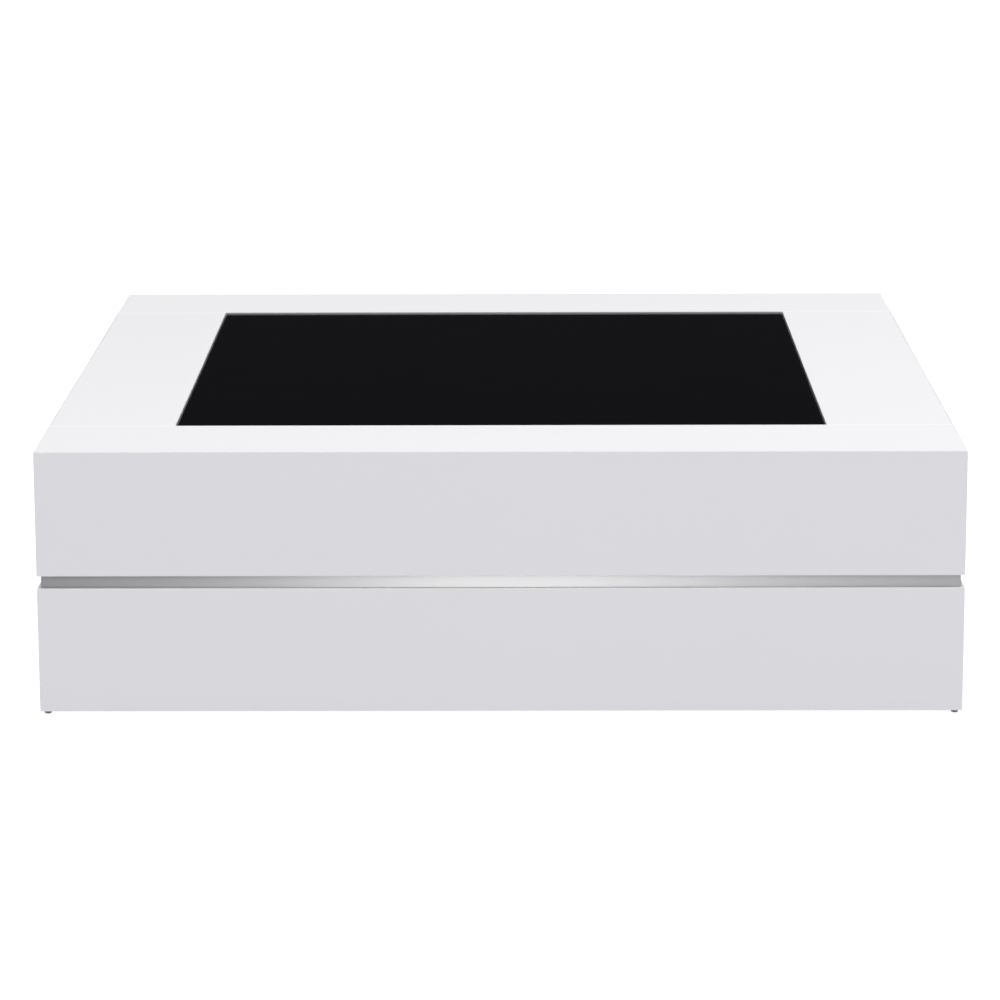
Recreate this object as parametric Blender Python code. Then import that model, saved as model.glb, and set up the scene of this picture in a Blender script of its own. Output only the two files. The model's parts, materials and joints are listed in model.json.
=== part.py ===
"""Lift-top coffee table.

Two white lacquered boxes stand one on the other with a metal-faced recess between them. The black glass
middle of the top is a lid. It rises and comes forward on a pair of parallelogram linkages, and uncovers a
storage well in the upper box.

Metres, +Z up, the front faces -Y. The origin is the centre of the footprint, on the floor.
"""
import math

import bmesh
import bpy
from mathutils import Vector

# ---- Driving dimensions ----
WIDTH = 1.200                   # the table is square in plan
FOOT_HEIGHT = 0.0045
LOWER_HEIGHT = 0.1645           # lower box
RECESS_HEIGHT = 0.0165          # metal band between the boxes
UPPER_HEIGHT = 0.164            # upper box
RECESS_DEPTH = 0.005            # band face behind the boxes' faces
GAP = 0.0003                    # between pieces that touch

UPPER_BOARD = 0.022             # board of the top and the aprons
LOWER_BOARD = 0.018             # board of the lower box, the well walls and the partitions
BASE_BOARD = 0.012              # floor of the upper box, deck of the lower box
BAND_SHEET = 0.001
SPACER_WIDTH = 0.060
PARTITION_X = 0.200             # centre of each partition in the lower box
PARTITION_LIFT = 0.010          # partitions end this far above the lower box's bottom edge

OPENING = 0.864                 # square opening in the top
LEDGE = 0.010                   # well walls stand this far inside the opening, under the lid
LID_GAP = 0.0015                # round the lid
LID_DROP = 0.002                # glass below the white top
GLASS = 0.005
LID_BOARD = 0.012

LINK_LENGTH = 0.260             # pivot to pivot
LINK_HALF_WIDTH = 0.011
LINK_THICKNESS = 0.005
LIFT_ANGLE = math.radians(125)  # swing of the links from closed to open
FRONT_PIVOT_Y = -0.300          # fixed pivot of the front links
PIVOT_DROP = 0.031              # front pivots below the lid board
PIVOT_SPACING_Y = 0.100         # front pivot to rear pivot
PIVOT_SPACING_Z = -0.030
WEB_X = 0.404                   # outer face of the bracket webs, from the middle
SHEET = 0.003                   # bracket steel
FLANGE = 0.045
SIDE_PLAY = 0.0005              # between a web and the link beside it
BASE_EYE = 0.016                # radius of a base bracket round its pivots
LID_EYE = 0.014                 # radius of a lid bracket round its pivots
STOP_EYE = 0.008                # radius of a base bracket round its stop pin
BRACKET_SKIRT = 0.012           # height of a bracket's web along its whole flange
STOP_REACH = 0.025              # from the front pivot, along the open link, to the stop pin

PIN_RADIUS = 0.004
PIN_HEAD_RADIUS = 0.007
PIN_HEAD = 0.0025
TUBE_RADIUS = 0.008
JOURNAL_RADIUS = 0.005
SHOULDER_RADIUS = 0.014
SPRING_WIRE = 0.0015            # wire radius
SPRING_RADIUS = 0.0115          # coil radius at the wire's middle
SPRING_TURNS = 6
SPRING_LENGTH = 0.023
SPRING_TO_LINK = 0.0065         # middle of a spring's outer turn to the front link
SPRING_TO_SHOULDER = 0.003
SHOULDER_LENGTH = 0.008

FOOT_RADIUS = 0.0048
BUFFER_RADIUS = 0.0035
BUFFER_X = 0.350
LATCH_SIZE = (0.018, 0.014, 0.055)
PLUNGER_RADIUS = 0.003
PLUNGER_HEAD_RADIUS = 0.0045
PLUNGER_HEAD = 0.006
PLUNGER_PLAY = 0.002            # under the plunger when it is pressed in
PLUNGER_BORE = 0.040            # depth of the bore in the latch body
PLUNGER_TRAVEL = 0.003
STRIKER_RADIUS = 0.007
STRIKER = 0.001

# ---- Levels and places worked out from them ----
HALF = WIDTH / 2
LOWER_TOP = FOOT_HEIGHT + LOWER_HEIGHT
UPPER_BOTTOM = LOWER_TOP + RECESS_HEIGHT
HEIGHT = UPPER_BOTTOM + UPPER_HEIGHT
TOP_UNDERSIDE = HEIGHT - UPPER_BOARD
WELL_FLOOR = UPPER_BOTTOM + BASE_BOARD
HALF_OPENING = OPENING / 2
WELL_INSIDE = HALF_OPENING - LEDGE
WELL_OUTSIDE = WELL_INSIDE + LOWER_BOARD
GLASS_TOP = HEIGHT - LID_DROP
LID_UNDERSIDE = GLASS_TOP - GLASS - LID_BOARD
HALF_LID = HALF_OPENING - LID_GAP
LOWER_FRONT = Vector((0, FRONT_PIVOT_Y, LID_UNDERSIDE - PIVOT_DROP))
LOWER_REAR = LOWER_FRONT + Vector((0, PIVOT_SPACING_Y, PIVOT_SPACING_Z))
UPPER_FRONT = LOWER_FRONT + Vector((0, LINK_LENGTH, 0))
UPPER_REAR = LOWER_REAR + Vector((0, LINK_LENGTH, 0))
LINK_X = WEB_X - SHEET - SIDE_PLAY - LINK_THICKNESS      # inner face of the links
SIDES = {"front": (0, -1), "rear": (0, 1), "left": (-1, 0), "right": (1, 0)}
HANDS = {"left": -1, "right": 1}


# ---- Finishes ----
def finish(name, colour, roughness, metallic=0.0):
    """A plain Principled material; colour is linear RGB."""
    material = bpy.data.materials.new(name)
    material.use_nodes = True
    shader = material.node_tree.nodes["Principled BSDF"]
    shader.inputs["Base Color"].default_value = (*colour, 1.0)
    shader.inputs["Roughness"].default_value = roughness
    shader.inputs["Metallic"].default_value = metallic
    return material


# ---- Building blocks ----
def add_object(name, mesh, material, place, parent=None):
    """Turn a bmesh into an object whose origin stands at a world place."""
    bmesh.ops.recalc_face_normals(mesh, faces=mesh.faces[:])
    data = bpy.data.meshes.new(name)
    mesh.to_mesh(data)
    mesh.free()
    data.materials.append(material)
    thing = bpy.data.objects.new(name, data)
    bpy.context.scene.collection.objects.link(thing)
    put(thing, place, parent)
    return thing


def put(thing, place, parent=None):
    """Stand an object at a world place, under a parent that is only moved, never turned."""
    thing.parent = parent
    origin = parent["place"] if parent else (0, 0, 0)
    thing.location = Vector(place) - Vector(origin)


def pivot(name, place, parent=None):
    """An empty on a joint's axis, for the pieces that move about it."""
    empty = bpy.data.objects.new(name, None)
    bpy.context.scene.collection.objects.link(empty)
    put(empty, place, parent)
    empty["place"] = place
    return empty


def block(low, high, cuts=()):
    """A box between two corners, about its own middle, and trimmed by planes (point, outward normal)."""
    low, high = Vector(low), Vector(high)
    middle = (low + high) / 2
    mesh = bmesh.new()
    bmesh.ops.create_cube(mesh, size=1.0)
    bmesh.ops.scale(mesh, vec=high - low, verts=mesh.verts[:])
    for point, normal in cuts:
        everything = mesh.verts[:] + mesh.edges[:] + mesh.faces[:]
        bmesh.ops.bisect_plane(mesh, geom=everything, plane_co=point - middle, plane_no=normal,
                               clear_outer=True)
        rim = [edge for edge in mesh.edges if edge.is_boundary]
        bmesh.ops.holes_fill(mesh, edges=rim)
    return mesh, middle


def board(name, low, high, material, cuts=(), parent=None):
    mesh, middle = block(low, high, cuts)
    return add_object(name, mesh, material, middle, parent)


def mitre(corner, own, other):
    """The plane where a board facing own meets a board facing other, set back by half the gap."""
    normal = (Vector(other) - Vector(own)).normalized()
    return Vector(corner) - normal * GAP / 2, normal


def wall(name, side, outer, thickness, bottom, top, material, under_top=False):
    """One of four boards round a square, mitred to the next two, and to the top where it has one."""
    along_x, along_y = SIDES[side]
    facing = Vector((along_x, along_y, 0))
    reach = Vector((abs(along_y), abs(along_x), 0)) * outer
    near, far = facing * (outer - thickness), facing * outer
    ends = [near - reach, near + reach, far - reach, far + reach]
    low = (min(p.x for p in ends), min(p.y for p in ends), bottom)
    high = (max(p.x for p in ends), max(p.y for p in ends), top)
    turned = Vector((along_y, along_x, 0))
    cuts = [mitre(facing * outer + next_one * outer, facing, next_one) for next_one in (turned, -turned)]
    if under_top:
        cuts.append(mitre(facing * outer + Vector((0, 0, top)), facing, (0, 0, 1)))
    return board(name, low, high, material, cuts)


def turned(name, profile, material, place, axis="X", sides=24, parent=None):
    """A solid turned about its axis; profile holds (distance along the axis, radius) from end to end."""
    mesh = bmesh.new()
    outline = [(profile[0][0], 0.0)] + list(profile) + [(profile[-1][0], 0.0)]
    across = Vector((0, 0, 1)) if axis == "X" else Vector((1, 0, 0))
    along = Vector((1, 0, 0)) if axis == "X" else Vector((0, 0, 1))
    points = [mesh.verts.new(along * distance + across * radius) for distance, radius in outline]
    edges = [mesh.edges.new(pair) for pair in zip(points, points[1:])]
    bmesh.ops.spin(mesh, geom=points + edges, cent=(0, 0, 0), axis=along, angle=math.tau, steps=sides)
    bmesh.ops.remove_doubles(mesh, verts=mesh.verts[:], dist=1e-6)
    thing = add_object(name, mesh, material, place, parent)
    thing.data.shade_smooth()
    thing.data.set_sharp_from_angle(angle=math.radians(35))
    return thing


def circle(centre, radius, steps=24):
    """Points (y, z) round a pivot."""
    turn = math.tau / steps
    return [(centre[1] + radius * math.cos(k * turn), centre[2] + radius * math.sin(k * turn))
            for k in range(steps)]


def hull(points):
    """The convex outline round flat points, counter-clockwise."""
    points = sorted(set(points))

    def half(ordered):
        chain = []
        for p in ordered:
            while len(chain) > 1:
                a, b = chain[-2], chain[-1]
                if (b[0] - a[0]) * (p[1] - a[1]) - (b[1] - a[1]) * (p[0] - a[0]) > 0:
                    break
                chain.pop()
            chain.append(p)
        return chain[:-1]

    return half(points) + half(points[::-1])


def plate(outline, holes, origin, near_x, far_x):
    """An upright plate from near_x to far_x, cut from a (y, z) outline with round holes, about origin."""
    mesh = bmesh.new()
    edges = []
    for loop in [outline] + holes:
        ring = [mesh.verts.new((near_x - origin[0], y - origin[1], z - origin[2])) for y, z in loop]
        edges += [mesh.edges.new(pair) for pair in zip(ring, ring[1:] + ring[:1])]
    bmesh.ops.triangle_fill(mesh, use_beauty=True, edges=edges)
    side = bmesh.ops.extrude_face_region(mesh, geom=mesh.faces[:])
    moved = [item for item in side["geom"] if isinstance(item, bmesh.types.BMVert)]
    bmesh.ops.translate(mesh, vec=(far_x - near_x, 0, 0), verts=moved)
    return mesh


def weld(thing, name, mesh, middle, material):
    """Join a second shape to an object as one body."""
    other = add_object(name, mesh, material, middle)
    other.hide_render = True
    other.display_type = "WIRE"
    joint = thing.modifiers.new("weld", "BOOLEAN")
    joint.operation = "UNION"
    joint.solver = "EXACT"
    joint.object = other


# ---- The fixed case ----
def upper_box(lacquer, melamine):
    """Top frame, aprons, well walls and floor of the upper box."""
    up = (0, 0, 1)
    for side in SIDES:
        wall(f"upper_{side}_apron", side, HALF, UPPER_BOARD, UPPER_BOTTOM, HEIGHT, lacquer, under_top=True)
    for side, sign in (("front", -1), ("rear", 1)):
        edges = sorted((sign * (HALF_OPENING + GAP / 2), sign * HALF))
        cuts = [mitre((0, sign * HALF, HEIGHT), up, (0, sign, 0)),
                mitre((-HALF, 0, HEIGHT), up, (-1, 0, 0)),
                mitre((HALF, 0, HEIGHT), up, (1, 0, 0))]
        board(f"top_{side}_strip", (-HALF, edges[0], TOP_UNDERSIDE), (HALF, edges[1], HEIGHT), lacquer, cuts)
    for hand, sign in HANDS.items():
        edges = sorted((sign * HALF_OPENING, sign * HALF))
        cuts = [mitre((sign * HALF, 0, HEIGHT), up, (sign, 0, 0))]
        end = HALF_OPENING - GAP / 2
        board(f"top_{hand}_panel", (edges[0], -end, TOP_UNDERSIDE), (edges[1], end, HEIGHT), lacquer, cuts)
    inner = HALF - UPPER_BOARD - GAP
    board("upper_base_board", (-inner, -inner, UPPER_BOTTOM), (inner, inner, WELL_FLOOR), melamine)
    bottom, top = WELL_FLOOR + GAP, TOP_UNDERSIDE - GAP
    for side, sign in (("front", -1), ("rear", 1)):
        edges = sorted((sign * WELL_INSIDE, sign * WELL_OUTSIDE))
        board(f"well_{side}_wall", (-inner, edges[0], bottom), (inner, edges[1], top), melamine)
    for hand, sign in HANDS.items():
        edges = sorted((sign * WELL_INSIDE, sign * WELL_OUTSIDE))
        end = WELL_INSIDE - GAP
        board(f"well_{hand}_wall", (edges[0], -end, bottom), (edges[1], end, top), melamine)


def recess(metal, timber):
    """The metal-faced band between the boxes and the spacer rails behind it."""
    face = HALF - RECESS_DEPTH
    bottom, top = LOWER_TOP + GAP, UPPER_BOTTOM - GAP
    for side in SIDES:
        wall(f"band_{side}_strip", side, face, BAND_SHEET, bottom, top, metal)
    outer = face - BAND_SHEET - GAP
    inner = outer - SPACER_WIDTH
    for side, sign in (("front", -1), ("rear", 1)):
        edges = sorted((sign * inner, sign * outer))
        board(f"spacer_{side}_rail", (-outer, edges[0], bottom), (outer, edges[1], top), timber)
    for hand, sign in HANDS.items():
        edges = sorted((sign * inner, sign * outer))
        end = inner - GAP
        board(f"spacer_{hand}_rail", (edges[0], -end, bottom), (edges[1], end, top), timber)


def lower_box(lacquer, timber, rubber):
    """Side panels, deck, partitions and glides of the lower box."""
    for side in SIDES:
        wall(f"lower_{side}_panel", side, HALF, LOWER_BOARD, FOOT_HEIGHT, LOWER_TOP, lacquer)
    inner = HALF - LOWER_BOARD - GAP
    deck_bottom = LOWER_TOP - BASE_BOARD
    board("lower_deck", (-inner, -inner, deck_bottom), (inner, inner, LOWER_TOP), timber)
    for hand, sign in HANDS.items():
        middle = sign * PARTITION_X
        board(f"lower_{hand}_partition",
              (middle - LOWER_BOARD / 2, -inner, FOOT_HEIGHT + PARTITION_LIFT),
              (middle + LOWER_BOARD / 2, inner, deck_bottom - GAP), timber)
    place = HALF - LOWER_BOARD / 2
    dome = [(0.0, FOOT_RADIUS * 0.60), (0.0007, FOOT_RADIUS * 0.86), (0.0018, FOOT_RADIUS),
            (FOOT_HEIGHT - GAP, FOOT_RADIUS)]
    for end, along_y in (("front", -1), ("rear", 1)):
        for hand, sign in HANDS.items():
            turned(f"{end}_{hand}_glide", dome, rubber, (sign * place, along_y * place, 0), axis="Z",
                   sides=16)


# ---- The lift ----
def base_brackets(steel):
    """Angle brackets on the well floor that carry the fixed pivots and the stop pins."""
    foot = WELL_FLOOR + GAP
    for hand, sign in HANDS.items():
        near_y, far_y = LOWER_FRONT.y - FLANGE, LOWER_REAR.y + FLANGE
        corners = [(near_y, foot + SHEET / 2), (far_y, foot + SHEET / 2),
                   (near_y, foot + BRACKET_SKIRT), (far_y, foot + BRACKET_SKIRT)]
        outline = hull(circle(LOWER_FRONT, BASE_EYE) + circle(LOWER_REAR, BASE_EYE)
                       + circle(stop_place(), STOP_EYE) + corners)
        holes = [circle(LOWER_FRONT, JOURNAL_RADIUS + GAP), circle(LOWER_REAR, PIN_RADIUS + GAP),
                 circle(stop_place(), PIN_RADIUS + GAP)]
        inner, outer = sign * (WEB_X - SHEET), sign * WEB_X
        bracket = add_object(f"{hand}_base_bracket", plate(outline, holes, LOWER_FRONT, inner, outer),
                             steel, LOWER_FRONT)
        edges = sorted((sign * (WEB_X - FLANGE), sign * (WEB_X - SHEET / 2)))
        flange = block((edges[0], near_y, foot), (edges[1], far_y, foot + SHEET))
        weld(bracket, f"{hand}_base_flange", *flange, steel)


def lid_brackets(steel, lid):
    """Angle brackets under the lid that carry the moving pivots."""
    top = LID_UNDERSIDE - GAP
    for hand, sign in HANDS.items():
        near_y, far_y = UPPER_FRONT.y - FLANGE, UPPER_REAR.y + FLANGE
        corners = [(near_y, top - SHEET / 2), (far_y, top - SHEET / 2),
                   (near_y, top - BRACKET_SKIRT), (far_y, top - BRACKET_SKIRT)]
        outline = hull(circle(UPPER_FRONT, LID_EYE) + circle(UPPER_REAR, LID_EYE) + corners)
        holes = [circle(place, PIN_RADIUS + GAP) for place in (UPPER_FRONT, UPPER_REAR)]
        inner, outer = sign * (WEB_X - SHEET), sign * WEB_X
        bracket = add_object(f"{hand}_lid_bracket", plate(outline, holes, UPPER_FRONT, inner, outer),
                             steel, UPPER_FRONT, lid)
        edges = sorted((sign * (WEB_X - FLANGE), sign * (WEB_X - SHEET / 2)))
        flange = block((edges[0], near_y, top - SHEET), (edges[1], far_y, top))
        weld(bracket, f"{hand}_lid_flange", *flange, steel)


def stop_place():
    """Where a stop pin stands so that a front link comes to rest against it at the lift angle."""
    along = Vector((0, math.cos(LIFT_ANGLE), math.sin(LIFT_ANGLE)))
    ahead = Vector((0, -math.sin(LIFT_ANGLE), math.cos(LIFT_ANGLE)))
    return LOWER_FRONT + along * STOP_REACH + ahead * (LINK_HALF_WIDTH + PIN_RADIUS + GAP)


def link(name, start, end, start_hole, sign, steel, parent=None):
    outline = hull(circle(start, LINK_HALF_WIDTH) + circle(end, LINK_HALF_WIDTH))
    holes = [circle(start, start_hole + GAP), circle(end, PIN_RADIUS + GAP)]
    mesh = plate(outline, holes, start, sign * LINK_X, sign * (LINK_X + LINK_THICKNESS))
    return add_object(name, mesh, steel, start, parent)


def pin(name, place, sign, steel, inner_head=True, parent=None):
    """A shouldered pin through a link and its bracket, with a head outside each."""
    outside, inside = WEB_X + GAP, LINK_X - GAP
    if inner_head:
        profile = [(inside - PIN_HEAD, PIN_HEAD_RADIUS), (inside, PIN_HEAD_RADIUS), (inside, PIN_RADIUS)]
    else:
        profile = [(LINK_X, PIN_RADIUS)]
    profile += [(outside, PIN_RADIUS), (outside, PIN_HEAD_RADIUS), (outside + PIN_HEAD, PIN_HEAD_RADIUS)]
    return turned(name, [(sign * x, radius) for x, radius in profile], steel, place, parent=parent)


def cross_tube(steel, arms):
    """The shaft that turns with both front links; a shoulder stands at the inner end of each spring."""
    spring_end = LINK_X - SPRING_TO_LINK - SPRING_LENGTH - SPRING_TO_SHOULDER
    shoulder_end = spring_end - SHOULDER_LENGTH
    outside = WEB_X + GAP
    half = [(shoulder_end, TUBE_RADIUS), (shoulder_end, SHOULDER_RADIUS),
            (spring_end, SHOULDER_RADIUS), (spring_end, TUBE_RADIUS),
            (LINK_X - GAP, TUBE_RADIUS), (LINK_X - GAP, JOURNAL_RADIUS),
            (outside, JOURNAL_RADIUS), (outside, TUBE_RADIUS), (outside + PIN_HEAD, TUBE_RADIUS)]
    profile = [(-x, radius) for x, radius in reversed(half)] + half
    turned("cross_tube", profile, steel, LOWER_FRONT, parent=arms)


def torsion_springs(wire):
    """A coil round each end of the cross tube, with a leg down to the bracket's flange."""
    leg_end = WELL_FLOOR + SHEET + 3 * GAP + SPRING_WIRE - LOWER_FRONT.z
    steps = SPRING_TURNS * 16
    for hand, sign in HANDS.items():
        start = sign * (LINK_X - SPRING_TO_LINK)
        points = [(start, -SPRING_RADIUS, leg_end)]
        for k in range(steps + 1):
            turn = math.pi - math.tau * SPRING_TURNS * k / steps
            along = start - sign * SPRING_LENGTH * k / steps
            points.append((along, SPRING_RADIUS * math.cos(turn), SPRING_RADIUS * math.sin(turn)))
        curve = bpy.data.curves.new(f"{hand}_torsion_spring", "CURVE")
        curve.dimensions = "3D"
        curve.bevel_depth = SPRING_WIRE
        curve.bevel_resolution = 1
        curve.use_fill_caps = True
        spline = curve.splines.new("POLY")
        spline.points.add(len(points) - 1)
        for point, place in zip(spline.points, points):
            point.co = (*place, 1.0)
        curve.materials.append(wire)
        spring = bpy.data.objects.new(curve.name, curve)
        bpy.context.scene.collection.objects.link(spring)
        put(spring, LOWER_FRONT)


def lid(glass, melamine, steel, arms):
    """Glass on its board, hung from the front links and kept level by the rear ones."""
    level = pivot("lid_axis", UPPER_FRONT, arms)
    board("lid_glass", (-HALF_LID, -HALF_LID, GLASS_TOP - GLASS), (HALF_LID, HALF_LID, GLASS_TOP), glass,
          parent=level)
    board("lid_board", (-HALF_LID, -HALF_LID, LID_UNDERSIDE),
          (HALF_LID, HALF_LID, GLASS_TOP - GLASS - GAP), melamine, parent=level)
    lid_brackets(steel, level)
    for hand, sign in HANDS.items():
        pin(f"{hand}_upper_front_pin", UPPER_FRONT, sign, steel, parent=level)
        pin(f"{hand}_upper_rear_pin", UPPER_REAR, sign, steel, parent=level)
    top = LID_UNDERSIDE - GAP
    turned("latch_striker", [(-STRIKER, STRIKER_RADIUS), (0, STRIKER_RADIUS)], steel,
           (0, latch_y(), top), axis="Z", parent=level)


def linkage(steel):
    """Brackets, links, tube and pins; returns the empty that the front links turn about."""
    arms = pivot("lift_axis", LOWER_FRONT)
    base_brackets(steel)
    cross_tube(steel, arms)
    for hand, sign in HANDS.items():
        link(f"{hand}_front_link", LOWER_FRONT, UPPER_FRONT, JOURNAL_RADIUS, sign, steel, arms)
        link(f"{hand}_rear_link", LOWER_REAR, UPPER_REAR, PIN_RADIUS, sign, steel)
        pin(f"{hand}_lower_rear_pin", LOWER_REAR, sign, steel)
        pin(f"{hand}_stop_pin", stop_place(), sign, steel, inner_head=False)
    return arms


def latch_y():
    """The push latch stands against the front wall of the well."""
    return -WELL_INSIDE + GAP + LATCH_SIZE[1] / 2


def push_latch(plastic, dark_plastic):
    """A push-to-open latch: a body with a bore from above, and a sprung plunger in it."""
    wide, deep, tall = LATCH_SIZE
    tip = LID_UNDERSIDE - STRIKER - 2 * GAP
    head_bottom = tip - PLUNGER_HEAD
    top = head_bottom - PLUNGER_TRAVEL - GAP
    body, middle = block((-wide / 2, latch_y() - deep / 2, top - tall), (wide / 2, latch_y() + deep / 2, top))
    latch = add_object("push_latch_body", body, plastic, middle)
    bore = turned("latch_bore", [(-PLUNGER_BORE, PLUNGER_RADIUS + GAP), (PLUNGER_HEAD, PLUNGER_RADIUS + GAP)],
                  plastic, (0, latch_y(), top), axis="Z")
    bore.hide_render = True
    bore.display_type = "WIRE"
    cut = latch.modifiers.new("bore", "BOOLEAN")
    cut.operation = "DIFFERENCE"
    cut.solver = "EXACT"
    cut.object = bore
    reach = PLUNGER_BORE - PLUNGER_TRAVEL - PLUNGER_PLAY
    chamfer = 0.001
    profile = [(top - reach - tip, PLUNGER_RADIUS), (head_bottom - tip, PLUNGER_RADIUS),
               (head_bottom - tip, PLUNGER_HEAD_RADIUS), (-chamfer, PLUNGER_HEAD_RADIUS),
               (0, PLUNGER_HEAD_RADIUS - chamfer)]
    turned("push_latch_plunger", profile, dark_plastic, (0, latch_y(), tip), axis="Z")


def lid_buffers(rubber):
    """Rubber stops on the front and rear ledges, where the closed lid lands."""
    bottom, top = TOP_UNDERSIDE, LID_UNDERSIDE - GAP
    place = (WELL_INSIDE + HALF_LID) / 2
    for end, along_y in (("front", -1), ("rear", 1)):
        for hand, sign in HANDS.items():
            turned(f"{end}_{hand}_buffer", [(0, BUFFER_RADIUS), (top - bottom, BUFFER_RADIUS * 0.8)], rubber,
                   (sign * BUFFER_X, along_y * place, bottom), axis="Z", sides=16)


def main():
    for thing in list(bpy.data.objects):
        bpy.data.objects.remove(thing)
    lacquer = finish("white_lacquer", (0.80, 0.80, 0.82), 0.12)
    melamine = finish("grey_melamine", (0.42, 0.42, 0.43), 0.55)
    timber = finish("raw_board", (0.48, 0.35, 0.22), 0.80)
    metal = finish("polished_band", (0.75, 0.75, 0.75), 0.18, 1.0)
    glass = finish("black_glass", (0.008, 0.008, 0.009), 0.05)
    steel = finish("zinc_steel", (0.60, 0.61, 0.62), 0.38, 1.0)
    wire = finish("spring_steel", (0.20, 0.20, 0.21), 0.35, 1.0)
    rubber = finish("grey_rubber", (0.09, 0.09, 0.09), 0.70)
    plastic = finish("grey_plastic", (0.35, 0.35, 0.36), 0.45)
    dark_plastic = finish("dark_plastic", (0.05, 0.05, 0.05), 0.40)

    lower_box(lacquer, timber, rubber)
    recess(metal, timber)
    upper_box(lacquer, melamine)
    arms = linkage(steel)
    torsion_springs(wire)
    lid(glass, melamine, steel, arms)
    push_latch(plastic, dark_plastic)
    lid_buffers(rubber)


main()
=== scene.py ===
"""Lift-top coffee table: the finished look of every piece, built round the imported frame.

White lacquered boards, a brushed metal recess, a black glass lid and the zinc-plated lift under it. The file
is laid out as a Blender add-on and run as a script. Metres, +Z up, the front faces -Y.
"""
import json
import math

import bmesh
import bpy
from mathutils import Matrix, Vector


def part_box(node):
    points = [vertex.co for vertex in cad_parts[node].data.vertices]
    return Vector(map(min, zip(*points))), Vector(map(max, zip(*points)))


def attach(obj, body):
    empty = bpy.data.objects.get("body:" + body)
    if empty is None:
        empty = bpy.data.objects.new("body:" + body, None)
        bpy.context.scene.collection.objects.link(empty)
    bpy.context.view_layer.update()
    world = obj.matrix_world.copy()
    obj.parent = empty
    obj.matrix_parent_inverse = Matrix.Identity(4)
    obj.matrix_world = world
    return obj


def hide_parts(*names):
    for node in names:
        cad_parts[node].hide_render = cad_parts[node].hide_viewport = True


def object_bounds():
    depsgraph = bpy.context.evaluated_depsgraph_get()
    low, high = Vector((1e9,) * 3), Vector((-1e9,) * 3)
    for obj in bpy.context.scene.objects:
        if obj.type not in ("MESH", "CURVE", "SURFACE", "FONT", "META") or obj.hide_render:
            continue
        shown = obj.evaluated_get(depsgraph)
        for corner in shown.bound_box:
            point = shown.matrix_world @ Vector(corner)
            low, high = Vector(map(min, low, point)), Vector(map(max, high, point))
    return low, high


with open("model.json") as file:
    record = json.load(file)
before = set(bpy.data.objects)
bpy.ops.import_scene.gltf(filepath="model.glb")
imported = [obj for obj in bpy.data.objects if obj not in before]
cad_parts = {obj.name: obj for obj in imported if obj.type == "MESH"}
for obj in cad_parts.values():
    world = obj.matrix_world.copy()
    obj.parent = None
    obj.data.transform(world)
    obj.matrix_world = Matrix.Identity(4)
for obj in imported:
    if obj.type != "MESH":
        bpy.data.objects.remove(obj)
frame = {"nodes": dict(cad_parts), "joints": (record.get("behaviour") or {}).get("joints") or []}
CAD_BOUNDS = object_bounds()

bl_info = {
    "name": "Lift-top coffee table",
    "version": (1, 0, 0),
    "blender": (4, 5, 0),
    "location": "View3D > Sidebar > Coffee Table",
    "description": "Builds the finished pieces of a lift-top coffee table round its frame",
    "category": "Object",
}

MM = 0.001
SIDES = {"front": Vector((0, -1, 0)), "rear": Vector((0, 1, 0)),
         "left": Vector((-1, 0, 0)), "right": Vector((1, 0, 0))}
HANDS = {"left": -1, "right": 1}
UP = Vector((0, 0, 1))
MERGE = 1e-7                               # points closer than this are one


def joint_place(name):
    """A hinge's place in the frame."""
    return Vector(next(joint["pos_m"] for joint in frame["joints"] if joint["name"] == name))


LOWER_FRONT = joint_place("lift_hinge")
LOWER_REAR = joint_place("left_rear_hinge")
UPPER_FRONT = joint_place("lid_level_hinge")
UPPER_REAR = UPPER_FRONT + LOWER_REAR - LOWER_FRONT


# ---- Colours, nodes and materials ----
def linear(hex_colour):
    """An sRGB hex colour as linear RGB."""
    parts = [int(hex_colour[k:k + 2], 16) / 255 for k in (0, 2, 4)]
    return tuple(part / 12.92 if part <= 0.04045 else ((part + 0.055) / 1.055) ** 2.4 for part in parts)


def add_node(tree, kind, settings=None, links=None):
    """Add a node: settings are its fields and plain socket values, links are the sockets that feed it."""
    node = tree.nodes.new(kind)
    for name, value in (settings or {}).items():
        if isinstance(name, int) or name in node.inputs:
            node.inputs[name].default_value = value
        else:
            setattr(node, name, value)
    for name, source in (links or {}).items():
        tree.links.new(source, node.inputs[name])
    return node


def new_material(name, settings):
    """A Principled material with plain values; returns it, its tree, its shader and its own coordinates."""
    material = bpy.data.materials.new(name)
    material.use_nodes = True
    tree = material.node_tree
    shader = tree.nodes["Principled BSDF"]
    for socket, value in settings.items():
        shader.inputs[socket].default_value = value
    place = add_node(tree, "ShaderNodeTexCoord").outputs["Object"]
    return material, tree, shader, place


def let_vary(tree, shader, pattern, colours=None, roughness=None, depth=None, start=0.35, end=0.65):
    """Let a pattern vary a finish as it goes from start to end.

    colours and roughness each hold the values at the start and at the end; depth is a relief's, in metres.
    """
    share = {"From Min": start, "From Max": end}
    if colours:
        tone = add_node(tree, "ShaderNodeMapRange", share, {"Value": pattern})
        mix = add_node(tree, "ShaderNodeMix",
                       {"data_type": "RGBA", 6: (*colours[0], 1), 7: (*colours[1], 1)},
                       {0: tone.outputs["Result"]})
        tree.links.new(mix.outputs[2], shader.inputs["Base Color"])
    if roughness:
        level = add_node(tree, "ShaderNodeMapRange",
                         {**share, "To Min": roughness[0], "To Max": roughness[1]}, {"Value": pattern})
        tree.links.new(level.outputs["Result"], shader.inputs["Roughness"])
    if depth:
        relief = add_node(tree, "ShaderNodeBump", {"Strength": 1.0, "Distance": depth}, {"Height": pattern})
        tree.links.new(relief.outputs["Normal"], shader.inputs["Normal"])


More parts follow.
